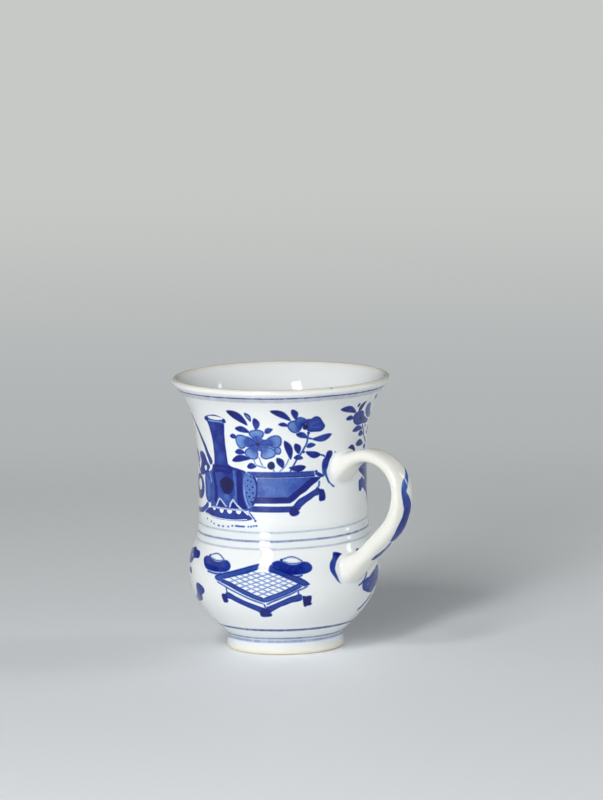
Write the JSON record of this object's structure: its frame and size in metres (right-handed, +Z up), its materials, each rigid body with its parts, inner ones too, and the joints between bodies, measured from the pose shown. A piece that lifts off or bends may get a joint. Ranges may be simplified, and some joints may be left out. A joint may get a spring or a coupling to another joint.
{
  "type": "handled cup",
  "caption": "Porcelain drinking cup with a flared neck, raised bands at the waist, a round bowl on a foot ring and a strap handle at the side.",
  "frame": {"origin": "centre of the foot ring, on the plane that the cup stands on", "axes": "+Z up the axis of the cup, +X out through the middle of the handle"},
  "size_m": [0.0954, 0.075, 0.0939],
  "materials": {
    "porcelain": "gloss glaze over blue underglaze painting, bare unglazed land under the foot ring"
  },
  "bodies": {
    "root": {"cup": "porcelain"}
  },
  "joints": []
}
